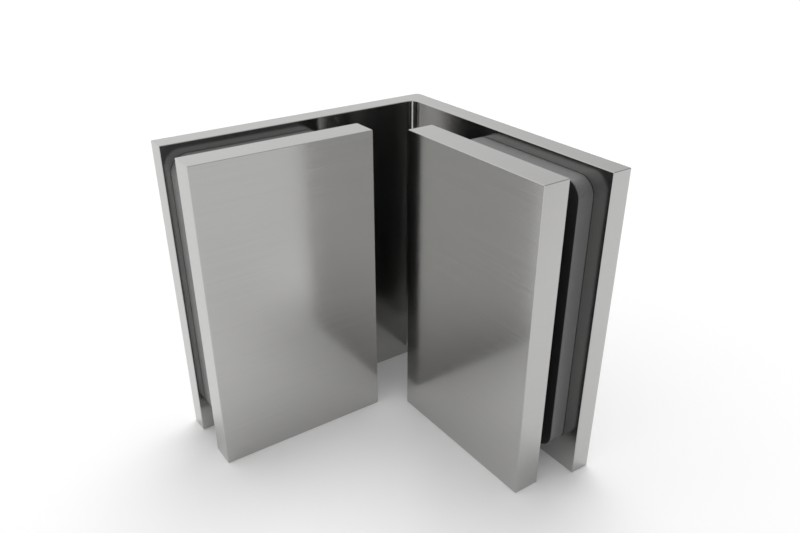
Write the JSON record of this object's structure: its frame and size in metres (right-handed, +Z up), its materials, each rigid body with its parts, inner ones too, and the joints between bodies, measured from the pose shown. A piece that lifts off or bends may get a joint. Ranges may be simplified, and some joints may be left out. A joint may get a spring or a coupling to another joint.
{
  "type": "glass corner connector",
  "caption": "Right-angled clamp for a glass corner: an L-shaped corner plate outside, flat clamp plates inside, and spacers, gaskets, bushes and countersunk screws between.",
  "frame": {"origin": "middle of the footprint at the base of the plates", "axes": "+Z up along the corner edge; +X along the left leg and +Y along the right leg, both towards the corner"},
  "size_m": [0.085, 0.085, 0.09],
  "materials": {
    "satin_steel": "fine satin brushed stainless steel",
    "screw_steel": "plain turned stainless steel",
    "spacer_rubber": "matte grey moulded rubber",
    "gasket_sheet": "matte grey sheet",
    "bush_nylon": "natural white nylon"
  },
  "bodies": {
    "corner": {"corner_plate": "satin_steel", "left_spacer": "spacer_rubber", "right_spacer": "spacer_rubber", "left_upper_bush": "bush_nylon", "left_lower_bush": "bush_nylon", "right_upper_bush": "bush_nylon", "right_lower_bush": "bush_nylon"},
    "left_clamp": {"left_clamp_plate": "satin_steel", "left_gasket": "gasket_sheet"},
    "left_upper_screw": {"left_upper_screw": "screw_steel"},
    "left_lower_screw": {"left_lower_screw": "screw_steel"},
    "right_clamp": {"right_clamp_plate": "satin_steel", "right_gasket": "gasket_sheet"},
    "right_upper_screw": {"right_upper_screw": "screw_steel"},
    "right_lower_screw": {"right_lower_screw": "screw_steel"}
  },
  "joints": [
    {"name": "left_clamp_slide", "type": "slide", "parent": "corner", "child": "left_clamp", "axis": [0, -1, 0], "range_m": [0, 0.003]},
    {"name": "left_upper_screw_turn", "type": "hinge", "parent": "corner", "child": "left_upper_screw", "pos_m": [-0.0165, 0.0425, 0.07], "axis": [0, -1, 0], "range_deg": [-1080, 0]},
    {"name": "left_lower_screw_turn", "type": "hinge", "parent": "corner", "child": "left_lower_screw", "pos_m": [-0.0165, 0.0425, 0.02], "axis": [0, -1, 0], "range_deg": [-1080, 0]},
    {"name": "right_clamp_slide", "type": "slide", "parent": "corner", "child": "right_clamp", "axis": [-1, 0, 0], "range_m": [0, 0.003]},
    {"name": "right_upper_screw_turn", "type": "hinge", "parent": "corner", "child": "right_upper_screw", "pos_m": [0.0425, -0.0135, 0.07], "axis": [-1, 0, 0], "range_deg": [-1080, 0]},
    {"name": "right_lower_screw_turn", "type": "hinge", "parent": "corner", "child": "right_lower_screw", "pos_m": [0.0425, -0.0135, 0.02], "axis": [-1, 0, 0], "range_deg": [-1080, 0]}
  ],
  "couplings": [
    {"joint": "left_upper_screw_turn", "follows": "left_clamp_slide", "rad_per_m": -6283.2},
    {"joint": "left_lower_screw_turn", "follows": "left_clamp_slide", "rad_per_m": -6283.2},
    {"joint": "right_upper_screw_turn", "follows": "right_clamp_slide", "rad_per_m": -6283.2},
    {"joint": "right_lower_screw_turn", "follows": "right_clamp_slide", "rad_per_m": -6283.2}
  ]
}
